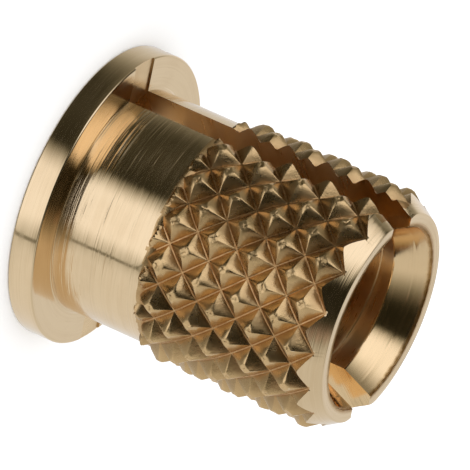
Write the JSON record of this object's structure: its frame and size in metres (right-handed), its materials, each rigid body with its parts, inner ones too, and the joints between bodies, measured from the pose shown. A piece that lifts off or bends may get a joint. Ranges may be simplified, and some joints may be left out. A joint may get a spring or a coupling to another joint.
{
  "type": "threaded insert",
  "caption": "Press-in threaded insert: a thin flange, a plain shank, a diamond-knurled sleeve split by a saw cut, a tapered tip and a bore right through.",
  "frame": {"origin": "centre of the flange's outer face, on the bore axis", "axes": "+Z along the bore axis from the flange towards the tapered tip, +Y along the saw cut that splits the sleeve"},
  "size_m": [0.0072, 0.0072, 0.0077],
  "materials": {
    "brass": "turned, bright"
  },
  "bodies": {
    "root": {"threaded_insert": "brass"}
  },
  "joints": []
}
